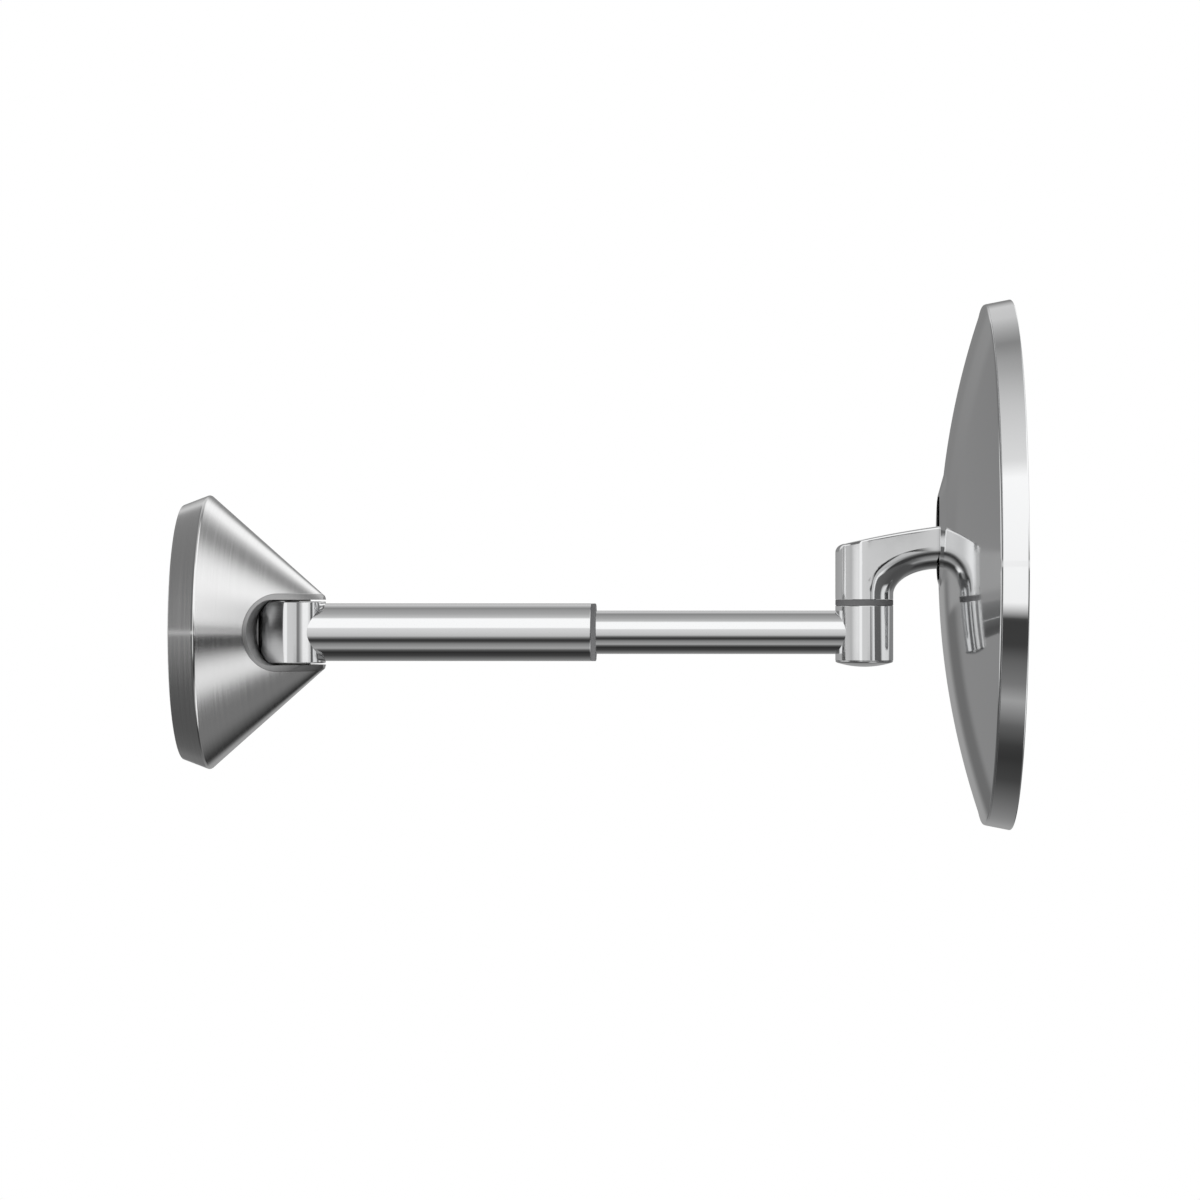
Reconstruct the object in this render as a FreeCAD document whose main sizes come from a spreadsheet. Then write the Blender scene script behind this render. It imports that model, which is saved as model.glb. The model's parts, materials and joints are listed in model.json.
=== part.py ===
import FreeCAD, Part
import math
import os
import re

import Sketcher
from FreeCAD import Placement, Rotation, Vector

# Wall-mounted telescopic shaving mirror.
# The origin is the centre of the base on the wall plane, +X points out of the wall along the
# arm and +Z is up. The arm is stored straight out and fully extended, the mirror upright.
# Every driving size is a cell of the sheet, in millimetres, degrees or pieces.

SIZES = {
    # plays, and how far cutting solids stand out past what they cut
    "running_play": 0.05,
    "washer_play": 0.2,
    "cut_play": 1.0,
    # base
    "rim_back_radius": 44.2,
    "rim_front_radius": 47.7,
    "rim_depth": 9.2,
    "rim_edge_round": 1.0,
    "rim_bore_radius": 41.2,
    "tip_x": 48.7,
    "tip_radius": 12.75,
    "cone_wall": 3.3,
    "web_back_x": 11.0,
    "web_front_x": 14.0,
    "plate_radius": 41.0,
    "plate_thickness": 2.5,
    "plate_depth": 8.0,
    "plate_wall": 2.2,
    "plate_hole_circle": 27.0,
    "plate_hole_radius": 2.5,
    "plate_hole_count": 3,
    "set_screw_x": 4.6,
    "set_screw_radius": 1.95,
    "set_screw_length": 4.4,
    "set_screw_hole_depth": 8.0,
    "set_screw_point": 0.5,
    "set_key_flats": 2.0,
    "set_key_depth": 1.8,
    # notch for the arm and the saddle in it
    "notch_half_height": 13.4,
    "notch_depth_x": 24.0,
    "notch_round": 10.7,
    "saddle_play": 0.1,
    "throat_half_height": 11.3,
    "throat_depth_x": 25.3,
    "throat_round": 7.6,
    "saddle_block_width": 28.0,
    "saddle_block_front_x": 34.0,
    "saddle_screw_radius": 3.0,
    "saddle_screw_length": 11.0,
    "saddle_screw_hole": 3.3,
    "saddle_screw_gap": 0.5,
    "saddle_key_flats": 4.0,
    "saddle_key_depth": 1.5,
    "saddle_head_radius": 5.0,
    "saddle_head_depth": 2.6,
    "saddle_washer_radius": 6.0,
    "saddle_washer_depth": 1.0,
    # arm hinge
    "hinge_x": 37.4,
    "barrel_radius": 11.75,
    "barrel_half_height": 10.7,
    "barrel_edge": 0.4,
    "barrel_pocket_radius": 12.1,
    "barrel_bore_radius": 3.6,
    "barrel_spigot_length": 6.5,
    "hinge_pin_radius": 2.5,
    "hinge_washer_radius": 6.5,
    "hinge_washer_depth": 0.5,
    "bush_length": 6.0,
    # telescopic tubes
    "outer_tube_radius": 10.0,
    "outer_tube_bore": 8.5,
    "outer_tube_end_x": 141.5,
    "collar_width": 1.7,
    "collar_sleeve_length": 12.0,
    "inner_tube_radius": 7.5,
    "inner_tube_bore": 6.0,
    "inner_tube_rear_x": 123.2,
    "glide_length": 6.0,
    "glide_end_depth": 2.0,
    "glide_bore": 5.0,
    "glide_groove_radius": 7.85,
    "glide_groove_width": 1.6,
    # swivel between arm and mirror neck
    "knuckle_x": 236.0,
    "knuckle_radius": 10.0,
    "knuckle_bottom": 9.85,
    "knuckle_top": 9.3,
    "knuckle_spigot_length": 12.0,
    "knuckle_cavity_radius": 7.6,
    "knuckle_shoulder": 1.5,
    "cap_depth": 2.05,
    "cap_edge_depth": 0.6,
    "cap_edge_inset": 0.5,
    "cap_edge_round": 0.8,
    "cap_dome_radius": 32.0,
    "cap_plug_depth": 2.0,
    "ring_depth": 2.1,
    "stud_radius": 4.0,
    "stud_rise": 24.0,
    "stud_drop": 7.4,
    "swivel_washer_radius": 7.2,
    "swivel_washer_depth": 0.9,
    "disc_spring_radius": 6.8,
    "disc_spring_wall": 0.5,
    "disc_spring_depth": 0.9,
    "swivel_nut_depth": 2.8,
    "swivel_nut_flat": 6.0,
    # neck
    "neck_corner_start_x": 225.6,
    "neck_corner_start_z": 27.2,
    "neck_corner_x": 226.9,
    "neck_corner_z": 29.62,
    "neck_shoulder_x": 229.2,
    "neck_shoulder_z": 30.6,
    "neck_middle_x": 245.1,
    "neck_middle_z": 34.0,
    "neck_end_x": 262.0,
    "neck_top_z": 36.7,
    "neck_underside_z": 22.0,
    "neck_throat_z": 13.0,
    "neck_taper_end_x": 256.0,
    "neck_half_width": 7.2,
    # tilt joint behind the mirror
    "tilt_x": 269.5,
    "tilt_z": 29.35,
    "eye_radius": 6.8,
    "tilt_pin_radius": 2.5,
    "tilt_washer_radius": 6.2,
    "cheek_gap": 8.0,
    "cheek_wall": 2.0,
    "cheek_radius": 6.3,
    "bracket_x": 276.6,
    "bracket_wall": 1.5,
    "bracket_half_width": 18.5,
    "bracket_half_height": 15.5,
    "standoff_y": 13.5,
    "standoff_z": 11.0,
    "standoff_radius": 3.3,
    "standoff_start_x": 263.2,
    "bracket_screw_radius": 1.5,
    "bracket_screw_length": 9.0,
    "bracket_screw_head": 2.8,
    "tilt_head_radius": 4.3,
    "tilt_head_depth": 2.8,
    "tilt_key_flats": 3.0,
    "tilt_key_depth": 1.6,
    "tilt_washer_play": 0.1,
    "tilt_spring_depth": 0.5,
    "tilt_nut_flat": 4.0,
    "tilt_nut_depth": 3.0,
    # mirror head
    "mirror_z": 23.3,
    "rim_x": 277.4,
    "rim_radius": 89.9,
    "front_x": 286.1,
    "front_radius": 91.6,
    "ring_bore": 88.55,
    "ring_lip_radius": 87.2,
    "ring_lip_depth": 0.75,
    "ring_edge": 0.3,
    "dome_apex_x": 261.97,
    "dome_radius": 275.0,
    "dome_edge_radius": 89.2,
    "dome_edge_round": 0.8,
    "dome_wall": 1.2,
    "skirt_radius": 88.5,
    "skirt_wall": 1.2,
    "skirt_end_x": 282.2,
    "hub_x": 261.5,
    "hub_z": 32.4,
    "hub_radius": 15.2,
    "hub_depth": 3.5,
    "hub_spread": 3.5,
    "slot_low_z": 18.2,
    "slot_high_z": 46.9,
    "slot_half_width": 7.9,
    "slot_corner": 3.0,
    "glass_radius": 88.4,
    "glass_wall": 2.2,
    "glass_sag": 3.2,
    "glass_front_x": 285.3,
    "pad_radius": 88.2,
    "pad_wall": 0.7,
}

ALONG_X = Rotation(Vector(0, 1, 0), 90)
ALONG_Y = Rotation(Vector(1, 0, 0), -90)
ALONG_Z = Rotation()
HORIZONTAL_AXIS = -1
VERTICAL_AXIS = -2
START, END = 1, 2

doc = FreeCAD.newDocument("ShavingMirror")
sheet = doc.addObject("Spreadsheet::Sheet", "Sizes")
for row, (alias, size) in enumerate(SIZES.items(), start=1):
    sheet.set(f"A{row}", alias.replace("_", " "))
    sheet.set(f"B{row}", str(size))
    sheet.setAlias(f"B{row}", alias)
doc.recompute()

nodes = {}


# ---------------------------------------------------------------- expressions and placement

def bound(text):
    """The expression text with the sheet's name put before every alias in it."""
    return re.sub(r"[a-z][a-z_]+", lambda word: f"Sizes.{word[0]}" if word[0] in SIZES else word[0], text)


def value(text):
    """The present value of an expression over the sheet's aliases."""
    return float(sheet.evalExpression(bound(text)))


def bind(item, **expressions):
    """Tie properties of a document object to expressions; a double underscore stands for a dot."""
    for name, text in expressions.items():
        item.setExpression(name.replace("__", "."), bound(text))


def place(item, turn=ALONG_Z, x="0", y="0", z="0"):
    """Turn an object and tie its position to expressions."""
    item.Placement = Placement(Vector(), turn)
    bind(item, Placement__Base__x=x, Placement__Base__y=y, Placement__Base__z=z)
    return item


def keep(label, item):
    """Give a finished piece its label and list it for export."""
    item.Label = label
    nodes[label] = item
    return item


# ---------------------------------------------------------------- sketches and body features

def new_body(label, **position):
    """A PartDesign body for one piece, placed where its own origin belongs."""
    return place(keep(label, doc.addObject("PartDesign::Body", label)), **position)


def origin_feature(body, role):
    """One of the body's own origin planes or axes."""
    return next(item for item in body.Origin.OriginFeatures if item.Role == role)


def new_sketch(body, plane):
    """An empty sketch on one of the body's origin planes."""
    sketch = body.newObject("Sketcher::SketchObject", "Sketch")
    sketch.AttachmentSupport = [(origin_feature(body, plane), "")]
    sketch.MapMode = "FlatFace"
    return sketch


def fix_point(sketch, point, axis, text):
    """Hold one coordinate of a sketch point at the value of an expression."""
    size = value(text)
    if abs(size) < 1e-9:
        on_axis = VERTICAL_AXIS if axis == "DistanceX" else HORIZONTAL_AXIS
        sketch.addConstraint(Sketcher.Constraint("PointOnObject", *point, on_axis))
        return
    index = sketch.addConstraint(Sketcher.Constraint(axis, *point, size))
    sketch.setExpression(f"Constraints[{index}]", bound(text))


def add_arc(sketch, start, end, radius):
    """An arc of at most half a turn; a negative radius runs clockwise. Returns its two end points."""
    if radius < 0:
        last, first = add_arc(sketch, end, start, -radius)
        return first, last
    chord = end - start
    rise = math.sqrt(max(radius ** 2 - chord.Length ** 2 / 4, 0))
    centre = (start + end) * 0.5 + Vector(-chord.y, chord.x, 0).normalize() * rise
    angles = [math.atan2(spot.y - centre.y, spot.x - centre.x) for spot in (start, end)]
    circle = Part.Circle(centre, Vector(0, 0, 1), radius)
    index = sketch.addGeometry(Part.ArcOfCircle(circle, *angles), False)
    return (index, START), (index, END)


def outline(body, plane, corners):
    """A closed sketched outline. Each corner is two expressions, and a third makes the edge to the
    next corner an arc of that radius."""
    sketch = new_sketch(body, plane)
    spots = [Vector(value(corner[0]), value(corner[1]), 0) for corner in corners]
    edges = []
    for corner, start, end in zip(corners, spots, spots[1:] + spots[:1]):
        if len(corner) == 3:
            edges.append(add_arc(sketch, start, end, value(corner[2])))
        else:
            index = sketch.addGeometry(Part.LineSegment(start, end), False)
            edges.append(((index, START), (index, END)))
    for this, following in zip(edges, edges[1:] + edges[:1]):
        sketch.addConstraint(Sketcher.Constraint("Coincident", *this[1], *following[0]))
    for corner, edge in zip(corners, edges):
        fix_point(sketch, edge[0], "DistanceX", corner[0])
        fix_point(sketch, edge[0], "DistanceY", corner[1])
        if len(corner) == 3:
            size = abs(value(corner[2]))
            index = sketch.addConstraint(Sketcher.Constraint("Radius", edge[0][0], size))
            sketch.setExpression(f"Constraints[{index}]", bound(f"abs({corner[2]})"))
    return sketch


def circles(body, plane, *rounds):
    """A sketch of circles, each given as the expressions of its centre and its radius."""
    sketch = new_sketch(body, plane)
    for across, up, radius in rounds:
        centre = Vector(value(across), value(up), 0)
        index = sketch.addGeometry(Part.Circle(centre, Vector(0, 0, 1), value(radius)), False)
        fix_point(sketch, (index, 3), "DistanceX", across)
        fix_point(sketch, (index, 3), "DistanceY", up)
        size = sketch.addConstraint(Sketcher.Constraint("Radius", index, value(radius)))
        sketch.setExpression(f"Constraints[{size}]", bound(radius))
    return sketch


def revolve(body, sketch, axis, kind="Revolution"):
    """Turn a sketch a full turn about one of its own axes, adding or cutting."""
    feature = body.newObject(f"PartDesign::{kind}", kind)
    feature.Profile = sketch
    feature.ReferenceAxis = (sketch, [axis])
    feature.Angle = 360
    return feature


def turned(label, axis, corners, **position):
    """A piece turned from one outline: about X or Z from the XZ plane, about Y from the XY plane."""
    body = new_body(label, **position)
    plane = "XY_Plane" if axis == "Y" else "XZ_Plane"
    revolve(body, outline(body, plane, corners), "H_Axis" if axis == "X" else "V_Axis")
    return body


def pad(body, sketch, length, backwards=False):
    """Extrude a sketch to one side of its plane."""
    feature = body.newObject("PartDesign::Pad", "Pad")
    feature.Profile = sketch
    feature.Reversed = backwards
    bind(feature, Length=length)
    return feature


def cut(body, feature):
    """Recompute a cutting feature and make sure that it took something away."""
    doc.recompute()
    if feature.Shape.Volume >= feature.BaseFeature.Shape.Volume - 1e-3:
        raise RuntimeError(f"{body.Label}: {feature.Label} cuts nothing")
    return feature


def pocket_through(body, sketch):
    """Cut a sketch through the whole piece, both ways from its plane."""
    feature = body.newObject("PartDesign::Pocket", "Pocket")
    feature.Profile = sketch
    feature.Type = "ThroughAll"
    feature.SideType = "Symmetric"
    return cut(body, feature)


def groove(body, sketch, axis):
    """Turn a sketch about one of its axes as a cut."""
    return cut(body, revolve(body, sketch, axis, "Groove"))


def pocket_hexagon(body, plane, across_flats, depth, offset, reverse):
    """A blind hexagon socket; offset is the distance of its mouth from the sketch plane."""
    sketch = new_sketch(body, plane)
    bind(sketch, AttachmentOffset__Base__z=offset)
    corner = value(across_flats) / math.sqrt(3)
    angles = [side * math.pi / 3 for side in range(6)]
    spots = [Vector(corner * math.cos(angle), corner * math.sin(angle), 0) for angle in angles]
    for start, end in zip(spots, spots[1:] + spots[:1]):
        sketch.addGeometry(Part.LineSegment(start, end), False)
    for side in range(6):
        sketch.addConstraint(Sketcher.Constraint("Coincident", side, END, (side + 1) % 6, START))
    feature = body.newObject("PartDesign::Pocket", "Socket")
    feature.Profile = sketch
    feature.Reversed = reverse
    bind(feature, Length=depth)
    return cut(body, feature)


# ---------------------------------------------------------------- primitives and booleans

def cylinder(radius, length, turn=ALONG_Z, **position):
    """A round bar whose near end is at the given position."""
    bar = doc.addObject("Part::Cylinder", "Bar")
    bind(bar, Radius=radius, Height=length)
    return place(bar, turn, **position)


def frustum(near_radius, far_radius, length, turn=ALONG_Z, **position):
    """A cut cone whose near end is at the given position."""
    cone = doc.addObject("Part::Cone", "Frustum")
    bind(cone, Radius1=near_radius, Radius2=far_radius, Height=length)
    return place(cone, turn, **position)


def block(x, y, z):
    """A box between two expressions along each axis."""
    box = doc.addObject("Part::Box", "Block")
    bind(box, Length=f"{x[1]} - ({x[0]})", Width=f"{y[1]} - ({y[0]})", Height=f"{z[1]} - ({z[0]})")
    return place(box, x=x[0], y=y[0], z=z[0])


def minus(base, tool):
    """The first shape less the second."""
    result = doc.addObject("Part::Cut", "Cut")
    result.Base = base
    result.Tool = tool
    return result


def both(base, tool):
    """What two shapes share."""
    result = doc.addObject("Part::Common", "Common")
    result.Base = base
    result.Tool = tool
    return result


def union(*shapes):
    """Several shapes as one."""
    result = doc.addObject("Part::MultiFuse", "Union")
    result.Shapes = list(shapes)
    return result


def group(*shapes):
    """Several separate solids that share one node."""
    result = doc.addObject("Part::Compound", "Group")
    result.Links = list(shapes)
    return result


def ring(radius, bore, length, turn=ALONG_Z, **position):
    """A plain ring or washer."""
    return minus(cylinder(radius, length, turn, **position), cylinder(bore, length, turn, **position))


def hex_nut(half_flat, bore, depth, turn, **position):
    """A plain hexagon nut."""
    prism = doc.addObject("Part::Prism", "Hexagon")
    prism.Polygon = 6
    bind(prism, Circumradius=f"{half_flat} / cos(30)", Height=depth)
    return minus(place(prism, turn, **position), cylinder(bore, depth, turn, **position))


def round_ended_slot(half_height, depth_x, round_length, end_x, half_width):
    """A slot cut in from +X and run through along Y. Its blind end is half an ellipse."""
    ellipse = doc.addObject("Part::Ellipse", "SlotEnd")
    bind(ellipse, MajorRadius=half_height, MinorRadius=round_length)
    upright = Rotation(Vector(0, 0, 1), Vector(1, 0, 0), Vector(0, 1, 0), "ZXY")
    place(ellipse, upright, x=f"{depth_x} + {round_length}", y=f"-{half_width}")
    end = doc.addObject("Part::Extrusion", "SlotEndSolid")
    end.Base = ellipse
    end.DirMode = "Custom"
    end.Dir = Vector(0, 1, 0)
    end.Solid = True
    bind(end, LengthFwd=f"2 * {half_width}")
    straight = block(
        (f"{depth_x} + {round_length}", end_x),
        (f"-{half_width}", half_width),
        (f"-({half_height})", half_height),
    )
    return union(end, straight)


# ---------------------------------------------------------------- base, fixed to the wall

CONE_SLOPE = "((rim_front_radius - tip_radius) / (tip_x - rim_depth))"
BEYOND_BASE = "(rim_front_radius + cut_play)"


def make_wall_plate():
    """Pressed dish that is screwed to the wall; the cone slides over it."""
    plate = turned("wall_plate", "X", [
        ("0", "0"),
        ("plate_thickness", "0"),
        ("plate_thickness", "plate_radius - plate_wall"),
        ("plate_depth", "plate_radius - plate_wall"),
        ("plate_depth", "plate_radius"),
        ("0", "plate_radius"),
    ])
    hole = pocket_through(plate, circles(plate, "YZ_Plane", ("0", "plate_hole_circle", "plate_hole_radius")))
    pattern = plate.newObject("PartDesign::PolarPattern", "ScrewHoles")
    pattern.Originals = [hole]
    pattern.Axis = (origin_feature(plate, "X_Axis"), [""])
    pattern.Angle = 360
    bind(pattern, Occurrences="plate_hole_count")
    plate.Tip = pattern


def make_base_cone():
    """Cast cone with a tapered rim and an inner web, notched from its tip for the arm."""
    blank = doc.addObject("PartDesign::Body", "ConeBlank")
    casting = revolve(blank, outline(blank, "XZ_Plane", [
        ("0", "rim_bore_radius"),
        ("web_back_x", "rim_bore_radius"),
        ("web_back_x", "saddle_screw_hole"),
        ("web_front_x", "saddle_screw_hole"),
        ("web_front_x", f"rim_front_radius - cone_wall - {CONE_SLOPE} * (web_front_x - rim_depth)"),
        ("tip_x", "tip_radius - cone_wall"),
        ("tip_x", "tip_radius"),
        ("rim_depth", "rim_front_radius"),
        ("0", "rim_back_radius"),
    ]), "H_Axis")
    doc.recompute()
    edge_names = [
        f"Edge{number}"
        for number, edge in enumerate(casting.Shape.Edges, start=1)
        if abs(edge.BoundBox.XMin - value("rim_depth")) < 1e-3 and edge.BoundBox.XLength < 1e-3
    ]
    rounding = blank.newObject("PartDesign::Fillet", "RimEdge")
    rounding.Base = (casting, edge_names)
    bind(rounding, Radius="rim_edge_round")
    notch = round_ended_slot(
        "notch_half_height", "notch_depth_x", "notch_round", "tip_x + cut_play", BEYOND_BASE)
    screw_hole = cylinder(
        "set_screw_radius + running_play", "set_screw_hole_depth", x="set_screw_x", z="-rim_front_radius")
    keep("base_cone", minus(blank, union(notch, screw_hole)))


def make_hinge_saddle():
    """U-shaped hinge seat that fills the notch flush with the cone and carries the hinge pin."""
    liner = both(
        round_ended_slot(
            "notch_half_height - saddle_play",
            "notch_depth_x + saddle_play",
            "notch_round - saddle_play",
            "tip_x",
            BEYOND_BASE,
        ),
        frustum("rim_front_radius", "tip_radius", "tip_x - rim_depth", ALONG_X, x="rim_depth"),
    )
    back = block(
        ("web_front_x", "saddle_block_front_x"),
        ("-saddle_block_width / 2", "saddle_block_width / 2"),
        ("-(notch_half_height - saddle_play)", "notch_half_height - saddle_play"),
    )
    throat = round_ended_slot(
        "throat_half_height", "throat_depth_x", "throat_round", "tip_x + cut_play", BEYOND_BASE)
    barrel_pocket = cylinder(
        "barrel_pocket_radius", "2 * throat_half_height", x="hinge_x", z="-throat_half_height")
    pin_hole = cylinder("hinge_pin_radius", "2 * notch_half_height", x="hinge_x", z="-notch_half_height")
    screw_hole = cylinder("saddle_screw_radius", "saddle_screw_length", ALONG_X, x="web_back_x")
    keep("hinge_saddle", minus(union(liner, back), union(throat, barrel_pocket, pin_hole, screw_hole)))


def make_base_fasteners():
    """Screw, washer and set screw that hold the saddle in the cone and the cone on the wall plate."""
    screw_end = "saddle_head_depth + saddle_washer_depth + saddle_screw_length - saddle_screw_gap"
    screw = turned("saddle_screw", "X", [
        ("0", "0"),
        (screw_end, "0"),
        (screw_end, "saddle_screw_radius - running_play"),
        ("saddle_head_depth", "saddle_screw_radius - running_play"),
        ("saddle_head_depth", "saddle_head_radius"),
        ("0", "saddle_head_radius"),
    ], x="web_back_x - saddle_washer_depth - saddle_head_depth")
    pocket_hexagon(screw, "YZ_Plane", "saddle_key_flats", "saddle_key_depth", "0", True)
    keep("saddle_washer", ring(
        "saddle_washer_radius", "saddle_screw_radius + washer_play", "saddle_washer_depth", ALONG_X,
        x="web_back_x - saddle_washer_depth",
    ))
    grub = turned("set_screw", "Z", [
        ("0", "0"),
        ("set_screw_radius", "0"),
        ("set_screw_radius", "set_screw_length - set_screw_point"),
        ("set_screw_radius - set_screw_point", "set_screw_length"),
        ("0", "set_screw_length"),
    ], x="set_screw_x", z="-(plate_radius + set_screw_length)")
    pocket_hexagon(grub, "XY_Plane", "set_key_flats", "set_key_depth", "0", True)


def make_hinge_pin():
    """Pin across the saddle and the thrust washers above and below the barrel."""
    keep("hinge_pin", cylinder(
        "hinge_pin_radius", "2 * (notch_half_height - saddle_play)", x="hinge_x",
        z="-(notch_half_height - saddle_play)",
    ))
    sizes = ("hinge_washer_radius", "hinge_pin_radius + washer_play", "hinge_washer_depth")
    keep("hinge_washers", group(
        ring(*sizes, x="hinge_x", z="throat_half_height - hinge_washer_depth"),
        ring(*sizes, x="hinge_x", z="-throat_half_height"),
    ))


# ---------------------------------------------------------------- outer arm

def make_hinge_barrel():
    """Upright barrel with the spigot that carries the outer tube, and the two bushes in its bore."""
    barrel = turned("hinge_barrel", "Z", [
        ("0", "-barrel_half_height"),
        ("barrel_radius - barrel_edge", "-barrel_half_height"),
        ("barrel_radius", "-barrel_half_height + barrel_edge"),
        ("barrel_radius", "barrel_half_height - barrel_edge"),
        ("barrel_radius - barrel_edge", "barrel_half_height"),
        ("0", "barrel_half_height"),
    ], x="hinge_x")
    pad(barrel, circles(barrel, "YZ_Plane", ("0", "0", "outer_tube_bore - running_play")),
        "barrel_radius + barrel_spigot_length")
    doc.recompute()
    pocket_through(barrel, circles(barrel, "XY_Plane", ("0", "0", "barrel_bore_radius")))
    sizes = ("barrel_bore_radius", "hinge_pin_radius + running_play", "bush_length")
    keep("barrel_bushes", group(
        ring(*sizes, x="hinge_x", z="barrel_half_height - bush_length"),
        ring(*sizes, x="hinge_x", z="-barrel_half_height"),
    ))


def make_tube(label, radius, bore, from_x, to_x, joint_x, joint_radius):
    """A tube whose one end is shaped to the round of an upright barrel."""
    tube = new_body(label, x=from_x)
    pad(tube, circles(tube, "YZ_Plane", ("0", "0", radius), ("0", "0", bore)), f"{to_x} - {from_x}")
    doc.recompute()
    pocket_through(tube, circles(tube, "XY_Plane", (f"{joint_x} - {from_x}", "0", joint_radius)))


def make_outer_tube():
    """Thick tube from the hinge barrel to the collar."""
    make_tube("outer_tube", "outer_tube_radius", "outer_tube_bore", "hinge_x", "outer_tube_end_x",
              "hinge_x", "barrel_radius")


def make_tube_collar():
    """Flanged guide bush pressed into the end of the outer tube."""
    turned("tube_collar", "X", [
        ("-collar_sleeve_length", "inner_tube_radius + running_play"),
        ("collar_width", "inner_tube_radius + running_play"),
        ("collar_width", "outer_tube_radius"),
        ("0", "outer_tube_radius"),
        ("0", "outer_tube_bore"),
        ("-collar_sleeve_length", "outer_tube_bore"),
    ], x="outer_tube_end_x")


# ---------------------------------------------------------------- inner arm

def make_inner_tube():
    """Thin tube that slides in the collar and carries the lower knuckle."""
    make_tube("inner_tube", "inner_tube_radius", "inner_tube_bore", "inner_tube_rear_x", "knuckle_x",
              "knuckle_x", "knuckle_radius")


def make_slide_glide():
    """Plastic glide round the hidden end of the inner tube, with a friction ring in its groove."""
    middle = "glide_length / 2"
    glide_radius = "outer_tube_bore - running_play"
    turned("slide_glide", "X", [
        ("-glide_end_depth", "glide_bore"),
        ("0", "glide_bore"),
        ("0", "inner_tube_radius"),
        ("glide_length", "inner_tube_radius"),
        ("glide_length", glide_radius),
        (f"{middle} + glide_groove_width / 2", glide_radius),
        (f"{middle} + glide_groove_width / 2", "glide_groove_radius"),
        (f"{middle} - glide_groove_width / 2", "glide_groove_radius"),
        (f"{middle} - glide_groove_width / 2", glide_radius),
        ("-glide_end_depth", glide_radius),
    ], x="inner_tube_rear_x")
    keep("friction_ring", ring(
        glide_radius, "glide_groove_radius", "glide_groove_width - 2 * running_play", ALONG_X,
        x=f"inner_tube_rear_x + {middle} - glide_groove_width / 2 + running_play",
    ))


def make_lower_knuckle():
    """Upright knuckle at the end of the inner tube, hollow for the swivel stud and its nut."""
    knuckle = turned("lower_knuckle", "Z", [
        ("0", "-knuckle_bottom"),
        ("knuckle_radius", "-knuckle_bottom"),
        ("knuckle_radius", "knuckle_top"),
        ("0", "knuckle_top"),
    ], x="knuckle_x")
    pad(knuckle, circles(knuckle, "YZ_Plane", ("0", "0", "inner_tube_bore - running_play")),
        "knuckle_radius + knuckle_spigot_length", backwards=True)
    doc.recompute()
    groove(knuckle, outline(knuckle, "XZ_Plane", [
        ("0", "-knuckle_bottom"),
        ("knuckle_cavity_radius", "-knuckle_bottom"),
        ("knuckle_cavity_radius", "-knuckle_shoulder"),
        ("stud_radius + running_play", "-knuckle_shoulder"),
        ("stud_radius + running_play", "knuckle_top"),
        ("0", "knuckle_top"),
    ]), "V_Axis")
    turned("knuckle_cap", "Z", [
        ("0", "-cap_depth", "cap_dome_radius"),
        ("knuckle_radius - cap_edge_inset", "-cap_edge_depth", "cap_edge_round"),
        ("knuckle_radius", "0"),
        ("knuckle_cavity_radius - running_play", "0"),
        ("knuckle_cavity_radius - running_play", "cap_plug_depth"),
        ("0", "cap_plug_depth"),
    ], x="knuckle_x", z="-knuckle_bottom")
    keep("swivel_ring", ring(
        "knuckle_radius", "stud_radius + washer_play", "ring_depth", x="knuckle_x", z="knuckle_top"))
    keep("swivel_washer", ring(
        "swivel_washer_radius", "stud_radius + washer_play", "swivel_washer_depth", x="knuckle_x",
        z="-(knuckle_shoulder + swivel_washer_depth)",
    ))


# ---------------------------------------------------------------- neck

NECK_FOOT_Z = "(knuckle_top + ring_depth + running_play)"


def side_point(x, z):
    """A point on the middle plane from two expressions."""
    return Vector(value(x), 0, value(z))


def neck_side():
    """The neck's outline seen from the side, above the foot, as a thick solid. It stands out past
    the round back of the neck, so that the rounding of the top corner cuts cleanly across it."""
    throat = side_point("knuckle_x + knuckle_radius", "neck_throat_z")
    heel = side_point("neck_corner_start_x", "neck_throat_z")
    heel_top = side_point("neck_corner_start_x", "neck_corner_start_z")
    corner = side_point("neck_corner_x", "neck_corner_z")
    shoulder = side_point("neck_shoulder_x", "neck_shoulder_z")
    arm_middle = side_point("neck_middle_x", "neck_middle_z")
    arm_top = side_point("neck_end_x", "neck_top_z")
    eye_top = side_point("tilt_x", "tilt_z + eye_radius")
    eye_nose = side_point("tilt_x + eye_radius", "tilt_z")
    eye_bottom = side_point("tilt_x", "tilt_z - eye_radius")
    arm_underside = side_point("neck_end_x", "neck_underside_z")
    bend = Part.Ellipse(throat, arm_underside, side_point("neck_end_x", "neck_throat_z"))
    bend_angles = sorted((bend.parameter(throat), bend.parameter(arm_underside)))
    edges = [
        Part.LineSegment(heel, heel_top),
        Part.Arc(heel_top, corner, shoulder),
        Part.Arc(shoulder, arm_middle, arm_top),
        Part.LineSegment(arm_top, eye_top),
        Part.Arc(eye_top, eye_nose, eye_bottom),
        Part.LineSegment(eye_bottom, arm_underside),
        Part.ArcOfEllipse(bend, *bend_angles),
        Part.LineSegment(throat, heel),
    ]
    wire = Part.Wire(Part.__sortEdges__([edge.toShape() for edge in edges]))
    half_depth = Vector(0, value("knuckle_radius + cut_play"), 0)
    return Part.Face(wire.translated(-half_depth)).extrude(half_depth * 2)


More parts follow.
